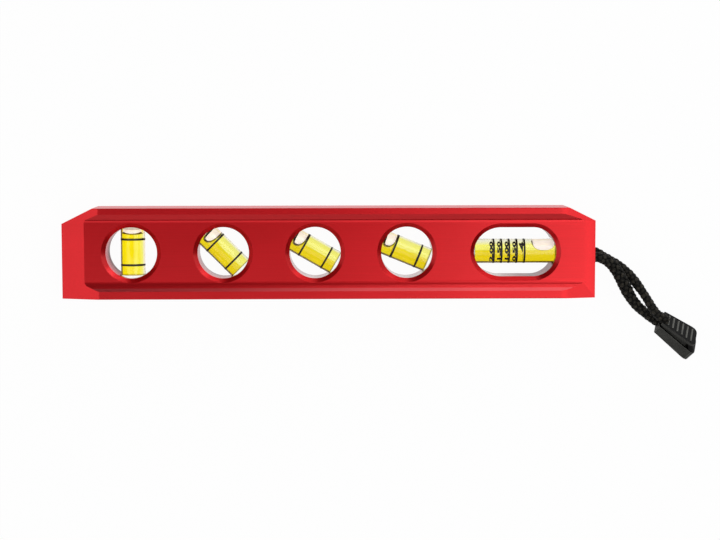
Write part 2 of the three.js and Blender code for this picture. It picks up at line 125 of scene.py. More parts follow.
# Numbers beside the level vial's lines
number_size = 1.7 * MM
number_offset = 0.4 * MM
single_offset = 0.1 * MM
number_bold = 0.09 * MM
single_share = 1.6
single_shift = 0.7 * MM
number_depth = 0.03 * MM
number_slice = 0.3 * MM
number_spread = 2.8
number_fineness = 4
number_words = ("2.00", "1.50", "1.00", "0.50", "4")

# Magnets, pin and cord
magnet_ease = 0.3 * MM
pin_ease = 0.25 * MM
crest_low = 0.66
crest_high = 0.98
cord_diameter = 3.7 * MM
cord_mouth_drop = 1.3 * MM
mouth = Vector((end_face_x, -cord_mouth_drop, bar_middle_z))


def add_object(name, data):
    item = bpy.data.objects.new(name, data)
    bpy.context.scene.collection.objects.link(item)
    return item


def mesh_of(name, vertices, faces):
    mesh = bpy.data.meshes.new(name)
    mesh.from_pydata([tuple(v) for v in vertices], [], faces)
    mesh.validate()
    mesh.update()
    for polygon in mesh.polygons:
        polygon.use_smooth = True
    return mesh


def faced_out(mesh, weld=0, sharp=True):
    """Joins vertices closer than the weld distance, turns the faces outwards and marks the sharp edges."""
    shape = bmesh.new()
    shape.from_mesh(mesh)
    if weld:
        bmesh.ops.remove_doubles(shape, verts=shape.verts, dist=weld)
    bmesh.ops.recalc_face_normals(shape, faces=shape.faces)
    shape.to_mesh(mesh)
    shape.free()
    if sharp:
        mesh.set_sharp_from_angle(angle=sharp_angle)
    return mesh


def evaluated_mesh(item):
    """The mesh that an object's modifiers or its text give."""
    graph = bpy.context.evaluated_depsgraph_get()
    return bpy.data.meshes.new_from_object(item.evaluated_get(graph), depsgraph=graph)


def paint(mesh, name, values):
    """Lets a mesh carry a value on each of its points."""
    layer = mesh.attributes.new(name, "FLOAT", "POINT")
    for point, value in zip(layer.data, values):
        point.value = value


def add_finish(mesh, look):
    """Gives a mesh one more finish and says in which slot it is."""
    mesh.materials.append(finishes[look])
    return len(mesh.materials) - 1


def place(item, node_names, slot, look=None):
    """Makes a piece ride on the fixed body, stand for its nodes and take its finish."""
    item.data.materials.clear()
    add_finish(item.data, look or slot)
    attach(item, "level")
    if node_names:
        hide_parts(*node_names)
    return item


def stepped(value, low, high):
    """0 below the first value, 1 above the second and even between."""
    return min(1, max(0, (value - low) / (high - low)))


def smoothed(share):
    """A share from 0 to 1, slowed down at both ends."""
    return share * share * (3 - 2 * share)


def bowed(share):
    """0 where the share is 0 or 1, and 1 half way."""
    return 1 - (2 * share - 1) ** 2


# Depths of the finishes' grain
brushed_depth = 0.004 * MM
bored_depth = 0.003 * MM
flow_depth = 0.002 * MM
ground_depth = 0.002 * MM
ring_depth = 0.003 * MM
fibre_depth = 0.03 * MM
spark_depth = 0.012 * MM


class Finish:
    """A material with its nodes at hand."""

    def __init__(self, name, **sockets):
        self.material = bpy.data.materials.new(name)
        self.material.use_nodes = True
        self.nodes = self.material.node_tree.nodes
        self.links = self.material.node_tree.links
        self.shader = self.nodes["Principled BSDF"]
        self.place = self.nodes.new("ShaderNodeTexCoord").outputs["Object"]
        for socket, value in sockets.items():
            self.shader.inputs[socket.replace("_", " ")].default_value = value

    def painted(self, name):
        """A value that the mesh carries on its points."""
        node = self.nodes.new("ShaderNodeAttribute")
        node.attribute_name = name
        return node.outputs["Fac"]

    def noise(self, scale, detail=3.0, roughness=0.5):
        """Noise over the object's coordinates, with a scale for each axis."""
        mapping = self.nodes.new("ShaderNodeMapping")
        mapping.inputs["Scale"].default_value = scale
        self.links.new(self.place, mapping.inputs["Vector"])
        texture = self.nodes.new("ShaderNodeTexNoise")
        for socket, value in (("Scale", 1.0), ("Detail", detail), ("Roughness", roughness)):
            texture.inputs[socket].default_value = value
        self.links.new(mapping.outputs["Vector"], texture.inputs["Vector"])
        return texture.outputs["Fac"]

    def ranged(self, value, low, high, from_low=0.3, from_high=0.7):
        """A value moved from one range, by default that of most noise, to another."""
        ranging = self.nodes.new("ShaderNodeMapRange")
        limits = {"From Min": from_low, "From Max": from_high, "To Min": low, "To Max": high}
        for socket, limit in limits.items():
            ranging.inputs[socket].default_value = limit
        self.links.new(value, ranging.inputs["Value"])
        return ranging.outputs["Result"]

    def mixed(self, share, first, second):
        """A blend of two colours, each a colour or another node's output."""
        mix = self.nodes.new("ShaderNodeMix")
        mix.data_type = "RGBA"
        self.links.new(share, mix.inputs[0])
        for socket, tone in ((mix.inputs[6], first), (mix.inputs[7], second)):
            if isinstance(tone, tuple):
                socket.default_value = tone
            else:
                self.links.new(tone, socket)
        return mix.outputs[2]

    def blended(self, value, first, second, *span):
        """A blend of two colours as a value crosses its range."""
        return self.mixed(self.ranged(value, 0.0, 1.0, *span), first, second)

    def bump(self, height, distance, strength):
        node = self.nodes.new("ShaderNodeBump")
        node.inputs["Strength"].default_value = strength
        node.inputs["Distance"].default_value = distance
        self.links.new(height, node.inputs["Height"])
        self.link(node.outputs["Normal"], "Normal")

    def link(self, value, socket):
        self.links.new(value, self.shader.inputs[socket])


def colour(red, green, blue):
    """A colour written as 8-bit screen values, as the linear values that shaders take."""

    def linear(value):
        share = value / 255
        return share / 12.92 if share <= 0.04045 else ((share + 0.055) / 1.055) ** 2.4

    return (linear(red), linear(green), linear(blue), 1.0)


def grained_finish(name, grain, first, second, rough=None, depth=None, **sockets):
    """A material whose grain varies its colour and, where they are given, its roughness and height."""
    finish = Finish(name, **sockets)
    texture = finish.noise(*grain)
    finish.link(finish.blended(texture, first, second), "Base Color")
    if rough:
        finish.link(finish.ranged(texture, *rough), "Roughness")
    if depth:
        finish.bump(texture, depth, 0.5)
    return finish.material


def anodised_finish(name, first, second, grain_colour):
    """Red anodised aluminium with the fine lengthwise grain of an extruded and brushed bar."""
    tint = (1.0, 0.36, 0.4, 1.0)
    finish = Finish(name, Metallic=0.9, Coat_Weight=0.5, Coat_Roughness=0.24, Specular_Tint=tint)
    grain = finish.noise((40, 5200, 5200), detail=4.0, roughness=0.65)
    cloud = finish.noise((30, 70, 70), detail=2.0)
    red = finish.blended(cloud, first, second)
    finish.link(finish.mixed(finish.ranged(grain, 0.0, 0.5), red, grain_colour), "Base Color")
    finish.link(finish.ranged(grain, 0.29, 0.37), "Roughness")
    finish.bump(grain, brushed_depth, 0.6)
    return finish.material


def bored_finish():
    """The windows' bored walls, with painted light and shade: grey inside and painted pink light towards the
    mouth far from the cord, painted pale light nearer it and painted dark red shade nearest it.
    """
    finish = Finish("bored_wall", Coat_Weight=0.15, Coat_Roughness=0.12)
    rings = finish.noise((500, 500, 7000), detail=2.0)
    patches = finish.noise((190, 190, 60), detail=2.0)
    split = finish.nodes.new("ShaderNodeSeparateXYZ")
    finish.links.new(finish.place, split.inputs[0])
    run = split.outputs["X"]
    inside = finish.blended(patches, colour(146, 130, 130), colour(186, 172, 172))
    shaded = finish.blended(split.outputs["Z"], inside, colour(236, 168, 174), lit_mouth_low, lit_mouth_high)
    lit_pale = finish.blended(patches, colour(236, 218, 219), colour(254, 248, 248))
    deep = finish.blended(patches, colour(96, 20, 26), colour(170, 90, 96))
    # Painted light and shade along X: grey and pink walls, then painted pale light, then painted dark shade
    walls = finish.blended(run, shaded, lit_pale, shaded_wall_end, lit_wall_start)
    walls = finish.blended(run, walls, deep, lit_wall_end, dark_shade_wall_start)
    walls = finish.mixed(finish.ranged(rings, 0.0, 0.25), walls, colour(160, 96, 98))
    finish.link(walls, "Base Color")
    finish.link(walls, "Specular Tint")
    finish.link(finish.ranged(run, 0.95, 0.3, shaded_wall_end, lit_wall_end), "Metallic")
    finish.link(finish.ranged(rings, 0.2, 0.32), "Roughness")
    finish.bump(rings, bored_depth, 0.5)
    return finish.material


def acrylic_finish():
    """Clear moulded acrylic with the faintest flow lines."""
    clear = colour(254, 255, 252)
    finish = Finish("clear_acrylic", Transmission_Weight=1.0, IOR=acrylic_ior, Base_Color=clear)
    flow = finish.noise((500, 500, 500), detail=1.0)
    finish.link(finish.ranged(flow, 0.0, 0.03), "Roughness")
    finish.bump(flow, flow_depth, 0.3)
    return finish.material


def liquid_finish(name, deep, clear, glow):
    """Clear yellow liquid with painted light: painted highlight paler towards the upper side and painted
    white along it, painted shade dark along its lower edge, and a painted glow where one is given.
    """
    looks = {"Emission_Color": colour(255, 216, 0), "Emission_Strength": glow, "Roughness": 0.0}
    finish = Finish(name, Transmission_Weight=0.97, IOR=liquid_ior / acrylic_ior, **looks)
    depth = finish.noise((160, 160, 160), detail=1.0)
    low = finish.blended(depth, deep, clear)
    high = finish.blended(depth, colour(255, 246, 50), colour(255, 249, 76))
    body = finish.mixed(finish.painted("lit_pale"), low, high)
    body = finish.mixed(finish.painted("painted_highlight"), body, colour(255, 255, 236))
    finish.link(finish.mixed(finish.painted("edge"), body, colour(34, 20, 2)), "Base Color")
    return finish.material


def bubble_finish(name, first, second, glow):
    """Air against the chamber's wall, painted milky white with faint streaks along the vial and a painted
    glow: painted highlight and reflection.
    """
    looks = {"Emission_Color": colour(255, 246, 242), "Emission_Strength": glow, "IOR": 1.05}
    looks.update(Transmission_Weight=0.2, Coat_Weight=0.5, Coat_Roughness=0.04)
    return grained_finish(name, ((260, 900, 900), 2.0), first, second, (0.04, 0.12), **looks)


def nylon_finish():
    """Black braided nylon with a faint sheen: painted highlight where a yarn lies on top, painted shade where
    it dips under.
    """
    looks = {"Sheen_Weight": 0.03, "Sheen_Roughness": 0.4, "Specular_IOR_Level": 0.12}
    finish = Finish("black_nylon", Roughness=0.6, **looks)
    fibre = finish.noise((1500, 1500, 1500), detail=3.0, roughness=0.7)
    patches = finish.noise((500, 500, 500), detail=2.0)
    black = finish.blended(patches, colour(1, 1, 1), colour(5, 5, 4))
    crest_highlight = finish.blended(fibre, colour(10, 9, 8), colour(66, 62, 53))
    finish.link(finish.blended(finish.painted("crest"), black, crest_highlight, crest_low, crest_high), "Base Color")
    finish.bump(fibre, fibre_depth, 0.5)
    return finish.material


def moulded_finish(name, first, second, low, high):
    """Dark moulded plastic with a fine spark-eroded texture, between two greys and two roughnesses."""
    finish = Finish(name, Specular_IOR_Level=0.13)
    texture = finish.noise((3800, 3800, 3800), detail=3.0, roughness=0.6)
    cloud = finish.noise((260, 260, 260), detail=2.0)
    finish.link(finish.blended(cloud, first, second), "Base Color")
    finish.link(finish.ranged(texture, low, high), "Roughness")
    finish.bump(texture, spark_depth, 0.7)
    return finish.material


# The meniscus bends light away, so its dark brown is painted shade. The magnets are ground and the pin is
# turned about Y.
finishes = {
    "anodised_bar": anodised_finish(
        "anodised_red", colour(207, 8, 20), colour(215, 11, 25), colour(190, 5, 12)
    ),
    # A lighter red painted on the base slope as a highlight
    "slope_highlight": anodised_finish("highlight_red", colour(204, 56, 62), colour(214, 66, 72), colour(196, 50, 56)),
    "bored_wall": bored_finish(),
    "acrylic": acrylic_finish(),
    "liquid": liquid_finish("yellow_liquid", colour(240, 212, 16), colour(246, 222, 28), 0.0),
    # A brighter copy of the yellow liquid with a faint glow: painted light for the upright vial
    "liquid_lit": liquid_finish("lit_yellow_liquid", colour(252, 228, 6), colour(255, 234, 14), 0.035),
    # The bubble's white and glow are painted highlight; the shaded copy is painted shade with less glow
    "bubble": bubble_finish("air_bubble", colour(255, 251, 246), colour(236, 214, 212), 0.62),
    "bubble_shade": bubble_finish("shaded_air", colour(222, 212, 200), colour(196, 184, 172), 0.36),
    "meniscus": grained_finish(
        "dark_meniscus", ((900, 900, 900), 2.0), colour(70, 38, 6), colour(104, 62, 14),
        Roughness=0.2, Transmission_Weight=0.15,
    ),
    "line": grained_finish(
        "black_ink", ((2500, 2500, 2500), 2.0), colour(8, 7, 4), colour(20, 18, 10), Roughness=0.5
    ),
    "magnet": grained_finish(
        "nickel_plate", ((4200, 420, 4200), 3.0), colour(186, 188, 190), colour(204, 205, 204),
        (0.18, 0.32), ground_depth, Metallic=1.0,
    ),
    "pin": grained_finish(
        "turned_steel", ((300, 9000, 300), 2.0), colour(150, 152, 156), colour(176, 177, 178),
        (0.22, 0.4), ring_depth, Metallic=1.0,
    ),
    "cord": nylon_finish(),
    "clip": moulded_finish("dark_plastic", colour(10, 10, 10), colour(18, 18, 17), 0.6, 0.75),
    # A lighter copy of the dark plastic, painted light for the back half and faces turned to -Y
    "clip_side": moulded_finish("lit_side_plastic", colour(48, 48, 46), colour(62, 62, 59), 0.45, 0.6),
    # Painted highlight on the clip's rounded edges and rib tops
    "clip_rim": moulded_finish("edge_highlight_plastic", colour(84, 84, 80), colour(108, 108, 103), 0.3, 0.42),
    "clip_groove": moulded_finish("shaded_plastic", colour(5, 5, 5), colour(10, 10, 9), 0.7, 0.85),
}


# Rigid pieces that keep their shape and get rounded edges
def rounded_copy(node, name, width, reshape=None, edge_slot=-1):
    """A copy of a node's mesh with its flat faces joined up and its sharp edges rounded."""
    mesh = frame["nodes"][node].data.copy()
    mesh.name = name
    shape = bmesh.new()
    shape.from_mesh(mesh)
    bmesh.ops.remove_doubles(shape, verts=shape.verts, dist=weld_distance)
    bmesh.ops.dissolve_limit(shape, angle_limit=flat_angle, verts=shape.verts, edges=shape.edges)
    if reshape:
        reshape(shape)
    if edge_slot > 0:
        mesh.materials.append(None)
    shape.to_mesh(mesh)
    shape.free()
    item = add_object(name, mesh)
    bevel = item.modifiers.new("rounding", "BEVEL")
    bevel.width = width
    bevel.segments = round_segments
    bevel.limit_method = "ANGLE"
    bevel.angle_limit = edge_angle
    bevel.miter_outer = "MITER_ARC"
    bevel.use_clamp_overlap = True
    bevel.material = edge_slot
    rounded = evaluated_mesh(item)
    item.modifiers.clear()
    item.data = rounded
    for polygon in item.data.polygons:
        polygon.use_smooth = True
    item.data.set_sharp_from_angle(angle=sharp_angle)
    weighted = item.modifiers.new("flat_faces", "WEIGHTED_NORMAL")
    weighted.keep_sharp = True
    weighted.weight = face_weight
    return item


def window_span(name):
    """The middle of a vial's window and how far the vial's tube reaches from there, along X."""
    low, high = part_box(name + "_tube")
    return (low.x + high.x) / 2, (high.x - low.x) / 2


def reshape_bar(shape):
    """Hollows the slope by the base flange a little and moves the level window's rim."""
    outer, inner = base_slope
    for i in range(1, slope_strips):
        level = outer + (inner - outer) * i / slope_strips
        faces = [f for f in shape.faces if outer - edge_round < f.calc_center_median().y < inner + edge_round]
        parts = {e for f in faces for e in f.edges} | {v for f in faces for v in f.verts} | set(faces)
        bmesh.ops.bisect_plane(shape, geom=list(parts), plane_co=(0, level, 0), plane_no=(0, 1, 0))
    for vertex in shape.verts:
        share = (vertex.co.y - outer) / (inner - outer)
        face_side = vertex.co.z > bar_high.z * slope_height
        if face_side and slope_edge < share < 1 - slope_edge and abs(vertex.co.x) < slope_reach:
            vertex.co.z -= slope_bend * bowed(share)
    middle, reach = window_span(level_vial)
    half = reach - bore_reach
    for vertex in shape.verts:
        spot = vertex.co
        nearest = Vector((min(max(spot.x, middle - half), middle + half), 0, spot.z))
        away = spot - nearest
        if bore_reach - window_rim_reach < away.length < bore_reach + window_rim_reach:
            way = away.normalized()
            across = window_trims["right"] if way.x > 0 else window_trims["left"]
            upright = window_trims["top"] if way.y > 0 else window_trims["base"]
            vertex.co.x -= way.x * across
            vertex.co.y -= way.y * upright


def make_bar():
    body = rounded_copy("bar", "bar_body", edge_round, reshape=reshape_bar)
    place(body, ["bar"], "anodised_bar")
    wall_slot = add_finish(body.data, "bored_wall")
    highlight_slot = add_finish(body.data, "slope_highlight")
    spans = [window_span(name) for name in vial_names]
    for polygon in body.data.polygons:
        centre = polygon.center
        # Faces on the part of the base slope nearest the flange take the painted highlight
        rise = (centre.y - base_slope[0]) / (base_slope[1] - base_slope[0])
        if 0 < rise < highlight_rise and centre.z > bar_high.z * slope_height and abs(centre.x) < slope_reach:
            polygon.material_index = highlight_slot
        # Bored walls take their painted light and shade
        inner = abs(centre.y) < bore_reach and bore_low < centre.z < bar_high.z - bore_low
        if not inner or abs(polygon.normal.z) > wall_lean:
            continue
        if any(abs(centre.x - middle) < max(bore_reach, half) for middle, half in spans):
            polygon.material_index = wall_slot


def swept(rings):
    """Faces of a closed skin over rings of vertices that all have the same count."""
    count = len(rings[0])
    faces = []
    for low, high in zip(rings, rings[1:]):
        for i in range(count):
            j = (i + 1) % count
            faces.append((low[i], low[j], high[j], high[i]))
    faces.append(tuple(reversed(rings[0])))
    faces.append(tuple(rings[-1]))
    return faces


# Turned pieces
def turned(name, profile, spot, along, side):
    """A mesh turned about an axis. The profile has (radius, height) points from end to end."""
    across = along.cross(side)
    sides = turned_sides
    vertices = []
    rings = []
    for radius, height in profile:
        if radius == 0:
            rings.append([len(vertices)])
            vertices.append(spot + along * height)
            continue
        rings.append(list(range(len(vertices), len(vertices) + sides)))
        for i in range(sides):
            angle = TURN * i / sides
            out = side * math.cos(angle) + across * math.sin(angle)
            vertices.append(spot + along * height + out * radius)
    faces = []
    for low, high in zip(rings, rings[1:]):
        for i in range(sides):
            j = (i + 1) % sides
            if len(low) == 1:
                faces.append((low[0], high[j], high[i]))
            elif len(high) == 1:
                faces.append((low[i], low[j], high[0]))
            else:
                faces.append((low[i], low[j], high[j], high[i]))
    return add_object(name, faced_out(mesh_of(name, vertices, faces)))


def arc(centre_radius, centre_height, size, start, end):
    """Profile points on a quarter round, between two angles in degrees."""
    points = []
    for i in range(arc_steps + 1):
        angle = math.radians(start + (end - start) * i / arc_steps)
        points.append((centre_radius + size * math.cos(angle), centre_height + size * math.sin(angle)))
    return points


def eased_disc(radius, low, high, ease):
    """The profile of a disc with eased edges."""
    profile = [(0, low)]
    profile += arc(radius - ease, low + ease, ease, -90, 0)
    profile += arc(radius - ease, high - ease, ease, 0, 90)
    return profile + [(0, high)]


class Vial:
    """Where a vial lies: its centre, the way to its plug and the way to its upper side."""

    def __init__(self, name):
        self.name = name
        self.bubble_body = name.replace("vial", "bubble")
        low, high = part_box(name + "_tube")
        self.centre = (low + high) / 2
        joint = next(j for j in frame["joints"] if j["child"] == self.bubble_body)
        slide = Vector(joint["axis"])
        self.along = slide if name == level_vial else -slide
        self.side = Vector((self.along.y, -self.along.x, 0))
        self.reach = max(self.heights(name + "_tube"))
        self.floor = min(self.heights(name + "_liquid")) - floor_sink
        self.roof = self.reach - plug_length
        self.lines = sorted(n for n in frame["nodes"] if n.startswith(name + "_line_"))

    def heights(self, node):
        """How far a node's vertices lie along the vial from its centre."""
        return [(v.co - self.centre).dot(self.along) for v in frame["nodes"][node].data.vertices]

    def middle(self, node):
        heights = self.heights(node)
        return (min(heights) + max(heights)) / 2

    def turned(self, name, profile):
        return turned(name, profile, self.centre, self.along, self.side)


def barrel_profile(vial):
    """The chamber's wall, a little wider in the middle, from its floor to its roof."""
    points = []
    for i in range(barrel_steps + 1):
        share = i / barrel_steps
        radius = chamber_radius + barrel_rise * bowed(share)
        points.append((radius, vial.floor + (vial.roof - vial.floor) * share))
    return points


def make_tube(vial):
    """The tube, whose chamber is the liquid's own surface, with a seat for the plug in its open end."""
    seat = vial.roof + plug_sink
    profile = eased_disc(vial_radius, -vial.reach, vial.reach, vial_end_round)[:-1]
    profile += [(chamber_radius, vial.reach), (chamber_radius, seat), (0, seat)]
    place(vial.turned(vial.name + "_glass", profile), [vial.name + "_tube"], "acrylic")


def make_plug(vial):
    """The plug, a little clear of its seat's floor and wall."""
    low = vial.roof + plug_sink * 2
    profile = eased_disc(chamber_radius - plug_clearance, low, vial.reach - plug_sink, plug_ease)
    place(vial.turned(vial.name + "_stopper", profile), [vial.name + "_plug"], "acrylic")


# Angles in degrees round the chamber, from its front towards its upper side or, for the painted dark shade
# along the edge, its lower side: where each painted highlight or shade starts and where it is full
lit_pale_angles = (-16.0, 20.0)
upright_lit_pale_angles = (46.0, 62.0)
highlight_angles = (70.0, 94.0)
level_highlight_angles = (40.0, 80.0)
shade_angles = (67.0, 74.0)
shade_end_angles = (120.0, 125.0)
# The length of a band at each end of the liquid; at the floor end its wall takes painted dark shade, this
# strong
end_edge = 0.5 * MM
end_shade_share = 0.8


def make_liquid(vial):
    """The liquid, which carries its painted highlight and painted shade on its points."""
    wall = barrel_profile(vial)
    low = wall[0][1]
    high = wall[-1][1]
    profile = [(0, low), wall[0], (wall[0][0], low + end_edge)] + wall[1:-1]
    profile += [(wall[-1][0], high - end_edge), wall[-1], (0, high)]
    liquid = vial.turned(vial.name + "_fill", profile)
    upright = vial.name == upright_vial
    lit_pale_span = upright_lit_pale_angles if upright else lit_pale_angles
    highlight_span = level_highlight_angles if vial.name == level_vial else highlight_angles
    tones = {"lit_pale": [], "painted_highlight": [], "edge": []}
    for vertex in liquid.data.vertices:
        offset = vertex.co - vial.centre
        side = offset.dot(vial.side)
        angle = math.degrees(math.atan2(side, offset.z))
        # Painted shade along the lower edge and on the floor end's wall
        edge = stepped(-angle, *shade_angles) * (1 - stepped(-angle, *shade_end_angles))
        on_wall = math.hypot(side, offset.z) > chamber_radius / 2
        if on_wall and offset.dot(vial.along) < low + end_edge / 2:
            edge = max(edge, end_shade_share)
        tones["lit_pale"].append(stepped(angle, *lit_pale_span))
        tones["painted_highlight"].append(stepped(angle, *highlight_span))
        tones["edge"].append(edge)
    for name, values in tones.items():
        paint(liquid.data, name, values)
    # The upright vial's liquid takes the brighter copy, painted light
    place(liquid, [vial.name + "_liquid"], "liquid", "liquid_lit" if upright else "liquid")


def make_lines(vial):
    """Printed rings whose ink thins out behind the vial."""
    inner = vial_radius + line_clearance
    outer = inner + line_height
    for node in vial.lines:
        middle = vial.middle(node)
        low = middle - line_width / 2
        high = middle + line_width / 2
        profile = [(inner, low), (outer, low), (outer, high), (inner, high), (inner, low)]
        ring = vial.turned(node + "_ink", profile)
        for vertex in ring.data.vertices:
            offset = vertex.co - vial.centre
            thinned = (1 - back_line_share) * stepped(line_fade - offset.z, 0, vial_radius / 2)
            vertex.co += vial.along * (middle - offset.dot(vial.along)) * thinned
        place(ring, [node], "line")


def curved(value, power):
    """A sine or cosine, raised so that it draws a superellipse of the given power."""
    return math.copysign(abs(value) ** (2 / power), value)


def arched(height, side, long, deep, power):
    """Rim points of a bubble that hangs from the upper side: a superellipse's lower half."""
    points = []
    for i in range(bubble_steps + 1):
        angle = math.pi * i / bubble_steps
        along = -curved(math.cos(angle), power)
        points.append((height + along * long / 2, side - curved(math.sin(angle), power) * deep))
    return points


def cornered(roof, side, long, deep, power):
    """Rim points of a bubble near the plug: steep on the plug's side and round on the other."""
    points = []
    for i in range(bubble_steps + 1):
        angle = math.pi * i / bubble_steps
        near_plug = angle < math.pi / 2
        reach = corner_steep if near_plug else long - corner_steep
        turn = corner_power if near_plug else power
        along = curved(math.cos(angle), turn)
        points.append((roof - corner_steep + along * reach, side - deep * curved(math.sin(angle), turn)))
    return points


def cupped(height, reach, sag):
    """Rim points of a bubble that fills the plug's end, with the liquid's surface as a shallow cup."""
    shares = [i / bubble_steps for i in range(bubble_steps + 1)]
    return [(height - sag * bowed(share), (2 * share - 1) * reach) for share in shares]


def air_mesh(vial, rim, top_of, sag, shaded_from=bubble_wall_steps + 1):
    """A bubble from its rim on the chamber's front wall and the line that each rim point rises to."""

    def width(side):
        return math.sqrt(max(bubble_radius**2 - side**2, 0))

    rings = []
    vertices = []
    for i, (height, side) in enumerate(rim):
        ahead = Vector(rim[min(i + 1, len(rim) - 1)])
        behind = Vector(rim[max(i - 1, 0)])
        run = (ahead - behind).normalized()
        out = Vector((run.y, -run.x))
        top = top_of(height, side)
        if out.dot(Vector(top) - Vector((height, side))) > 0:
            out = -out
        ring = []
        for k in range(bubble_under_steps + 1):
            share = k / bubble_under_steps
            drop = sag * bowed(share)
            ring.append((height + out.x * drop, side + out.y * drop, (2 * share - 1) * width(side)))
        wall = []
        for k in range(1, bubble_wall_steps + 1):
            share = k / bubble_wall_steps
            level = side + (top[1] - side) * share
            wall.append((height + (top[0] - height) * share, level, width(level)))
        ring += wall + [(a, s, -z) for a, s, z in reversed(wall)]
        rings.append(list(range(len(vertices), len(vertices) + len(ring))))
        vertices += [vial.centre + vial.along * a + vial.side * s + UP * z for a, s, z in ring]
    mesh = mesh_of(vial.name + "_air", vertices, swept(rings))
    add_finish(mesh, "bubble")
    under_slot = add_finish(mesh, "meniscus")
    shade_slot = add_finish(mesh, "bubble_shade")
    per_ring = len(rings[0])
    for index, polygon in enumerate(mesh.polygons):
        spot = index % per_ring
        if index >= (len(rings) - 1) * per_ring:
            continue
        # The bubble's underside takes the meniscus's painted shade, and a band of its upper wall, where
        # asked, the shaded air's painted shade
        if spot < bubble_under_steps:
            polygon.material_index = under_slot
        elif bubble_under_steps + shaded_from <= spot < per_ring - shaded_from:
            polygon.material_index = shade_slot
    return faced_out(mesh, weld_distance)


# Each corner bubble's length, depth and how square its rim is
corner_bubbles = {
    "vial_45": (2.9 * MM, 4.3 * MM, 2.3),
    "vial_30": (3.3 * MM, 3.9 * MM, 2.3),
    "vial_22": (3.35 * MM, 3.6 * MM, 2.4),
}
upper_side = 3.2 * MM
level_bubble = {"gap": 0.7 * MM, "long": 8.05 * MM, "deep": 2.75 * MM, "power": 2.5, "sag": 0.4 * MM}
upright_bubble = {"shaded_from": 3, "long": 1.82 * MM, "reach": 2.9 * MM, "cup": 0.55 * MM, "sag": 0.72 * MM}
corner_sag = 0.7 * MM
corner_gap = 0.7 * MM
corner_steep = 0.9 * MM
corner_power = 5.0


def make_bubble(vial):
    """Air against the chamber's end or upper side, as the photographed place has it."""
    roof = vial.roof - bubble_end_gap
    if vial.name == upright_vial:
        size = upright_bubble
        rim = cupped(roof - size["long"], size["reach"], size["cup"])
        mesh = air_mesh(vial, rim, lambda height, side: (roof, side), size["sag"], size["shaded_from"])
    else:
        if vial.name == level_vial:
            size = level_bubble
            sag = size["sag"]
            middle = vial.floor + size["gap"] + size["long"] / 2
            rim = arched(middle, upper_side, size["long"], size["deep"], size["power"])
        else:
            sag = corner_sag
            rim = cornered(roof - corner_gap, upper_side, *corner_bubbles[vial.name])
        mesh = air_mesh(vial, rim, lambda height, side: (height, upper_side), sag)
    bubble = add_object(vial.name + "_air", mesh)
    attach(bubble, vial.bubble_body)
    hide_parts(vial.name + "_bubble")


def make_numbers(vial):
    """Plain numbers beside the level vial's lines, printed round the tube."""
    for node, words in zip(vial.lines, number_words):
        single = len(words) == 1
        middle = vial.middle(node) + (single_offset if single else number_offset)
        shift = single_shift if single else 0
        curve = bpy.data.curves.new(node + "_number", "FONT")
        curve.body = words
        curve.size = number_size * (single_share if single else 1)
        curve.align_x = "CENTER"
        curve.extrude = number_depth / 2
        curve.offset = number_bold
        curve.resolution_u = number_fineness
        item = add_object(node + "_number", curve)
        mesh = evaluated_mesh(item)
        bpy.data.objects.remove(item, do_unlink=True)
        shape = bmesh.new()
        shape.from_mesh(mesh)
        reach = max(abs(v.co.x) for v in shape.verts)
        slices = int(2 * reach / number_slice) + 1
        for i in range(1, slices):
            everything = shape.verts[:] + shape.edges[:] + shape.faces[:]
            spot = (-reach + i * number_slice, 0, 0)
            bmesh.ops.bisect_plane(shape, geom=everything, plane_co=spot, plane_no=(1, 0, 0))
        for vertex in shape.verts:
            x, y, z = vertex.co
            angle = (x + shift) * number_spread / vial_radius
            out = vial_radius + line_clearance + number_depth / 2 + z
            spot = vial.side * (out * math.sin(angle)) + UP * (out * math.cos(angle))
            vertex.co = vial.centre + vial.along * (middle + y) + spot
        shape.to_mesh(mesh)
        shape.free()
        place(add_object(node + "_digits", mesh), [], "line")


def make_disc(node, name, look, ease):
    """A round piece with eased edges, whose axis lies along Y."""
    low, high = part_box(node)
    half = (high.y - low.y) / 2
    profile = eased_disc((high.z - low.z) / 2, -half, half, ease)
    place(turned(name, profile, (low + high) / 2, Vector((0, 1, 0)), UP), [node], look)


# Cord
upper_route = [
    (0, 0.75, -3.4),
    (1.6, 0.6, -3.35),
    (3.94, -0.75, -3.15),
    (7.08, -2.51, -2.85),
    (9.97, -4.19, -2.6),
    (12.67, -6.38, -2.45),
    (14.66, -8.34, -2.2),
    (16.78, -11.12, -1.3),
    (18.6, -13.75, -0.1),
    (20.4, -16.65, 1.0),
    (22.2, -19.7, 1.6),
    (24.01, -22.05, 1.25),
    (26.97, -24.33, 0.56),
]
lower_route = [
    (0, -0.7, 3.4),
    (1.7, -0.78, 3.2),
    (3.78, -1.44, 2.5),
    (6.0, -2.72, 1.75),
    (7.76, -4.47, 1.35),
    (9.39, -6.71, 1.1),
    (10.81, -9.34, 0.75),
    (12.02, -11.58, 0.3),
    (13.38, -14.06, -0.4),
    (15.02, -16.69, -1.2),
    (16.42, -18.48, -1.7),
    (18.05, -20.23, -2.1),
    (19.64, -21.56, -2.4),
    (21.56, -23.12, -2.75),
    (23.0, -24.2, -2.87),
    (24.45, -25.16, -2.78),
]
pin_setback = 5.2 * MM
pin_radius = 1.25 * MM
seat_clearance = 0.3 * MM
bight_twist = 1.55 * MM
bight_turns = 16
route_fineness = 4
end_points = 3


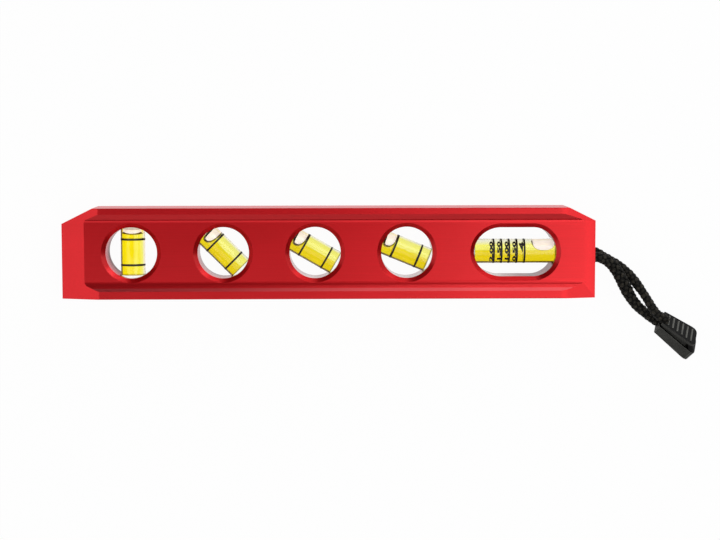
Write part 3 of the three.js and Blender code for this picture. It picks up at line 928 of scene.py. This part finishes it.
def smooth_line(points, step):
    """Points at an even step on a centripetal curve through the given ones."""
    points = [points[0] * 2 - points[1]] + list(points) + [points[-1] * 2 - points[-2]]
    dense = []
    for a, b, c, d in zip(points, points[1:], points[2:], points[3:]):
        first = (b - a).length ** 0.5
        second = (c - b).length ** 0.5
        third = (d - c).length ** 0.5
        start = (b - a) / first - (c - a) / (first + second) + (c - b) / second
        end = (c - b) / second - (d - b) / (second + third) + (d - c) / third
        start *= second
        end *= second
        pieces = max(2, round((c - b).length / step) * route_fineness)
        for i in range(pieces):
            t = i / pieces
            dense.append(
                b * (2 * t**3 - 3 * t**2 + 1)
                + start * (t**3 - 2 * t**2 + t)
                + c * (3 * t**2 - 2 * t**3)
                + end * (t**3 - t**2)
            )
    dense.append(points[-2])
    lengths = [0.0]
    for a, b in zip(dense, dense[1:]):
        lengths.append(lengths[-1] + (b - a).length)
    count = max(2, round(lengths[-1] / step))
    line = []
    index = 0
    for i in range(count + 1):
        target = lengths[-1] * i / count
        while index < len(lengths) - 2 and lengths[index + 1] < target:
            index += 1
        share = (target - lengths[index]) / (lengths[index + 1] - lengths[index])
        line.append(dense[index].lerp(dense[index + 1], share))
    return line, lengths[-1]


def frames_along(line):
    """A level side direction and its upward partner at each point of a line."""
    side = None
    frames = []
    for i, point in enumerate(line):
        ahead = line[min(i + 1, len(line) - 1)]
        behind = line[max(i - 1, 0)]
        along = (ahead - behind).normalized()
        level = along.cross(UP)
        if level.length > steep_limit:
            if side is not None and level.dot(side) < 0:
                level = -level
            side = level.normalized()
        side = (side - along * side.dot(along)).normalized()
        frames.append((point, along, side, along.cross(side)))
    return frames


carriers = 6
carrier_sides = 8
carrier_pitch = 20.0 * MM
core_share = 0.72
crown_share = 1.06
yarn_width = 1.6 * MM
yarn_height = 0.72 * MM
yarn_sway = 0.3 * MM
braid_step = 0.2 * MM
core_sides = 16
steep_limit = 0.3
less_lit_share = 0.84
clip_entry = 1.4 * MM
cord_widths = {
    "upper": ((0, 1.0), (0.3, 0.96), (0.52, 1.0), (0.64, 0.84), (0.85, 0.88), (1, 1.0)),
    "lower": ((0, 1.0), (0.3, 1.24), (0.52, 1.3), (0.64, 1.12), (0.85, 1.0), (1, 1.0)),
    "bight": ((0, 1.0), (1, 1.0)),
}
tall_shares = {"upper": 0.91, "lower": 0.88, "bight": 1.0}
swell_run = 0.3


def width_at(shape_name, share):
    """A strand's width along its run, as a share of the cord's diameter."""
    stops = cord_widths[shape_name]
    for (low, first), (high, second) in zip(stops, stops[1:]):
        if share <= high:
            part = (share - low) / (high - low)
            return first + (second - first) * smoothed(part)
    return stops[-1][1]


def braid(name, line, shape_name):
    """A braided cord along a line: yarns that cross over and under each other round a core."""
    stations = frames_along(line)
    vertices = []
    crests = []
    faces = []
    radius = cord_diameter / 2
    middle = radius * crown_share - yarn_height / 2 - yarn_sway
    core = radius * core_share
    tall_share = tall_shares[shape_name]
    ovals = []
    for k in range(len(stations)):
        share = k / (len(stations) - 1)
        swell = stepped(share, 0, swell_run) * stepped(1 - share, 0, swell_run)
        ovals.append((width_at(shape_name, share), 1 + (tall_share - 1) * swell))
    rings = []
    for (point, _, side, across), (wide_way, tall_way) in zip(stations, ovals):
        start = len(vertices)
        for i in range(core_sides):
            angle = TURN * i / core_sides
            out = side * math.cos(angle) * wide_way + across * math.sin(angle) * tall_way
            vertices.append(point + out * core)
            # The core's crest of 0 is painted shade between the yarns
            crests.append(0.0)
        rings.append(list(range(start, start + core_sides)))
    faces += swept(rings)
    step = (line[1] - line[0]).length
    for way in (1, -1):
        for carrier in range(carriers):
            rings = []
            for k, (point, along, side, across) in enumerate(stations):
                wide_way, tall_way = ovals[k]
                travelled = k * step
                angle = way * TURN * travelled / carrier_pitch + TURN * carrier / carriers
                weave = math.cos(TURN * carriers * travelled / carrier_pitch)
                height = middle + way * yarn_sway * weave
                spot = side * math.cos(angle) * wide_way + across * math.sin(angle) * tall_way
                out = (side * math.cos(angle) / wide_way + across * math.sin(angle) / tall_way).normalized()
                round_way = out.cross(along)
                slope = way * TURN * height / carrier_pitch
                lead = (along - round_way * slope).normalized()
                wide = out.cross(lead).normalized()
                start = len(vertices)
                for i in range(carrier_sides):
                    turn = TURN * i / carrier_sides
                    vertices.append(
                        point
                        + spot * height
                        + out * (yarn_height / 2 * math.sin(turn))
                        + wide * (yarn_width / 2 * math.cos(turn))
                    )
                    # Painted highlight on each yarn's top where it lies over, weaker on one way's yarns;
                    # painted shade where it dips under
                    lift = (way * weave + 1) / 4 + (math.sin(turn) + 1) / 4
                    crests.append(lift if way > 0 else lift * less_lit_share)
                rings.append(list(range(start, start + carrier_sides)))
            faces += swept(rings)
    mesh = faced_out(mesh_of(name, vertices, faces), sharp=False)
    paint(mesh, "crest", crests)
    return add_object(name, mesh)


def from_mouth(points):
    return [mouth + Vector(point) * MM for point in points]


def bight_line():
    """The cord's turn round its pin, from one strand's start to the other's."""
    turn = pin_radius + seat_clearance + cord_diameter / 2
    points = [Vector((0, bight_twist / 2, -turn))]
    for i in range(bight_turns + 1):
        share = i / bight_turns
        angle = -math.pi / 2 - share * math.pi
        x = -pin_setback + turn * math.cos(angle)
        points.append(Vector((x, bight_twist * (0.5 - share), turn * math.sin(angle))))
    points.append(Vector((0, -bight_twist / 2, turn)))
    return [mouth + point for point in points]


def make_cord():
    front, back = make_clip()
    for name, route, half in (("upper", upper_route, front), ("lower", lower_route, back)):
        line, length = smooth_line(from_mouth(route), braid_step)
        last_way = (line[-1] - line[-1 - end_points]).normalized()
        entry = int(clip_entry / braid_step)
        into_clip = [line[-1] + last_way * braid_step * (i + 1) for i in range(entry)]
        strand = braid("cord_braid_" + name, line + into_clip, name)
        place(strand, ["cord_strand_" + name], "cord")
    line, _ = smooth_line(bight_line(), braid_step)
    place(braid("cord_braid_bight", line, "bight"), ["cord_bight"], "cord")


# Clip, in its own frame: X from the cord to its far end, Z out of its ribbed face
clip_round = 0.45 * MM
clip_spot = mouth + Vector((26.0, -24.62, -0.68)) * MM
clip_turn = (math.radians(-54), math.radians(6.2), math.radians(-34.2))
clip_length = 15.1 * MM
clip_back_reach = 1.6 * MM
clip_near_width = 7.3 * MM
clip_far_width = 9.7 * MM
clip_face = (1.6 * MM, 2.1 * MM)
clip_groove_far = 1.2 * MM
rib_clearance = 0.05 * MM
heel_run = 2.6 * MM
heel_inset = 0.12 * MM
heel_corner = 2.0 * MM
heel_sink = 0.35 * MM
heel_levels = 6
far_stretch = 0.8 * MM
stretch_start = 13.6 * MM
side_turn = 0.5
heel_corner_steps = 6
rim_slot = 1
groove_slot = 2
side_slot = 3


def clip_frame():
    x, y, z = clip_turn
    turn = Matrix.Rotation(z, 4, "Z") @ Matrix.Rotation(y, 4, "Y") @ Matrix.Rotation(x, 4, "X")
    return Matrix.Translation(clip_spot) @ turn


def make_heel(local):
    """The wall that closes the clip's groove at its far end, from the back half's reach to the front's."""
    rings = []
    vertices = []
    for i in range(heel_levels + 1):
        share = i / heel_levels
        level = (clip_groove_far + heel_sink) * (2 * share - 1)
        reach = clip_length + (clip_back_reach + far_stretch) * (1 - smoothed(share)) - heel_inset
        width = clip_near_width + (clip_far_width - clip_near_width) * reach / clip_length
        half = width / 2 - heel_inset
        ring = [(reach - heel_run, half), (reach - heel_run, -half)]
        for way in (-1, 1):
            for k in range(heel_corner_steps + 1):
                angle = math.pi / 2 * k / heel_corner_steps
                angle = -math.pi / 2 + angle if way < 0 else angle
                x = reach - heel_corner + heel_corner * math.cos(angle)
                ring.append((x, way * (half - heel_corner) + heel_corner * math.sin(angle)))
        rings.append(list(range(len(vertices), len(vertices) + len(ring))))
        vertices += [local @ Vector((x, y, level)) for x, y in ring]
    mesh = faced_out(mesh_of("clip_heel", vertices, swept(rings)))
    place(add_object("clip_heel", mesh), [], "clip")


def make_clip():
    local = clip_frame()
    to_local = local.inverted()
    halves = []
    for half in ("front", "back"):
        # The rounded edges take the rim's painted highlight
        piece = rounded_copy("clip_" + half, "clip_shell_" + half, clip_round, edge_slot=rim_slot)
        slots = [polygon.material_index for polygon in piece.data.polygons]
        # The back half takes the lighter copy, painted light
        look = "clip" if half == "front" else "clip_side"
        place(piece, ["clip_" + half], "clip", look)
        for extra in ("clip_rim", "clip_groove", "clip_side"):
            add_finish(piece.data, extra)
        if half == "back":
            for vertex in piece.data.vertices:
                spot = to_local @ vertex.co
                share = stepped(spot.x, stretch_start, clip_length + clip_back_reach)
                vertex.co = local @ (spot + Vector((far_stretch * share, 0, 0)))
        inward = -1 if half == "front" else 1
        for polygon, slot in zip(piece.data.polygons, slots):
            spot = to_local @ polygon.center
            normal = to_local.to_3x3() @ polygon.normal
            face_level = clip_face[0] + (clip_face[1] - clip_face[0]) * spot.x / clip_length
            polygon.material_index = slot
            # Rib tops take the rim's painted highlight, faces into the groove the groove's painted shade,
            # faces turned to -Y the side's painted light
            if spot.z > face_level + rib_clearance:
                polygon.material_index = rim_slot
            if slot == 0 and normal.z * inward > side_turn:
                polygon.material_index = groove_slot
            if slot == 0 and normal.y < -side_turn:
                polygon.material_index = side_slot
        halves.append(piece)
    make_heel(local)
    return halves


# Floor, room and lamps. Each lamp has its azimuth and elevation in degrees, its distance, its width and
# height, and the brightness of its face
floor_half = 6.0
floor_grey = 0.9
floor_glow = 0.965
room_glow = 0.12
lamps = {
    "overhead_right": (-8, 60, 0.95, (0.85, 0.8), 1.38),
    "overhead_front": (268, 68, 0.9, (1.4, 0.5), 0.9),
    "side_left": (184, 44, 0.9, (0.7, 0.5), 1.18),
    "low_back": (64, 17, 1.1, (1.1, 0.24), 2.85),
    "high_back": (62, 42, 1.0, (0.6, 0.45), 1.98),
    "low_front": (270, 12, 1.1, (1.7, 0.3), 0.8),
    "low_left": (186, 11, 1.1, (1.1, 0.3), 1.1),
    "low_right": (28, 9, 1.0, (1.1, 0.3), 1.3),
}


def make_camera():
    data = bpy.data.cameras.new("camera")
    data.lens = camera_lens
    data.sensor_width = camera_sensor
    data.sensor_fit = "HORIZONTAL"
    data.clip_start = camera_near
    data.clip_end = camera_far
    item = add_object("camera", data)
    item.location = camera_place
    item.rotation_euler = camera_turn
    bpy.context.scene.camera = item


def softbox(name, azimuth, elevation, distance, size, brightness):
    """A soft lamp aimed at the middle of the object, whose face has the given brightness."""
    turn = math.radians(azimuth)
    lift = math.radians(elevation)
    way = Vector((math.cos(turn) * math.cos(lift), math.sin(turn) * math.cos(lift), math.sin(lift)))
    data = bpy.data.lights.new(name, "AREA")
    data.shape = "RECTANGLE"
    data.size, data.size_y = size
    data.energy = brightness * math.pi * size[0] * size[1]
    item = add_object(name, data)
    item.location = way * distance
    item.rotation_euler = (-way).to_track_quat("-Z", "Y").to_euler()


def seen_share(nodes, links):
    """1 for what the camera, a reflection or a clear piece shows, else 0."""
    path = nodes.new("ShaderNodeLightPath").outputs
    share = path["Is Camera Ray"]
    for way in ("Is Glossy Ray", "Is Transmission Ray"):
        either = nodes.new("ShaderNodeMath")
        either.operation = "MAXIMUM"
        links.new(share, either.inputs[0])
        links.new(path[way], either.inputs[1])
        share = either.outputs[0]
    return share


def blend_shaders(nodes, links, kind, share, first, second):
    """Puts a blend of two shaders on a new output of the given kind."""
    mix = nodes.new("ShaderNodeMixShader")
    for socket, value in zip(mix.inputs, (share, first, second)):
        links.new(value, socket)
    links.new(mix.outputs[0], nodes.new(kind).inputs["Surface"])


def make_floor():
    corners = [(-1, -1), (1, -1), (1, 1), (-1, 1)]
    mesh = mesh_of("floor", [(x * floor_half, y * floor_half, 0) for x, y in corners], [(0, 1, 2, 3)])
    material = bpy.data.materials.new("pale_floor")
    material.use_nodes = True
    nodes = material.node_tree.nodes
    links = material.node_tree.links
    nodes.clear()
    diffuse = nodes.new("ShaderNodeBsdfDiffuse")
    diffuse.inputs["Color"].default_value = (floor_grey, floor_grey, floor_grey, 1.0)
    glow = nodes.new("ShaderNodeEmission")
    glow.inputs["Strength"].default_value = 1.0
    part = nodes.new("ShaderNodeMath")
    part.operation = "MULTIPLY"
    part.inputs[1].default_value = floor_glow
    links.new(seen_share(nodes, links), part.inputs[0])
    surfaces = (diffuse.outputs[0], glow.outputs[0])
    blend_shaders(nodes, links, "ShaderNodeOutputMaterial", part.outputs[0], *surfaces)
    mesh.materials.append(material)
    add_object("floor", mesh)


def make_world():
    """A white room that lights the object only faintly."""
    world = bpy.data.worlds.new("studio")
    bpy.context.scene.world = world
    world.use_nodes = True
    nodes = world.node_tree.nodes
    links = world.node_tree.links
    nodes.clear()
    shades = []
    for strength in (room_glow, 1.0):
        shade = nodes.new("ShaderNodeBackground")
        shade.inputs["Color"].default_value = (1.0, 1.0, 1.0, 1.0)
        shade.inputs["Strength"].default_value = strength
        shades.append(shade.outputs[0])
    seen = nodes.new("ShaderNodeLightPath").outputs["Is Camera Ray"]
    blend_shaders(nodes, links, "ShaderNodeOutputWorld", seen, *shades)


bpy.context.scene.view_settings.view_transform = "Standard"
make_camera()
make_cord()
make_bar()
for vial_name in vial_names:
    vial = Vial(vial_name)
    make_tube(vial)
    make_plug(vial)
    make_liquid(vial)
    make_lines(vial)
    make_bubble(vial)
    if vial_name == level_vial:
        make_numbers(vial)
for magnet in sorted(n for n in frame["nodes"] if n.startswith("magnet_")):
    make_disc(magnet, magnet + "_disc", "magnet", magnet_ease)
make_disc("cord_pin", "cord_pin_rod", "pin", pin_ease)
make_world()
for lamp, setting in lamps.items():
    softbox(lamp, *setting)
make_floor()
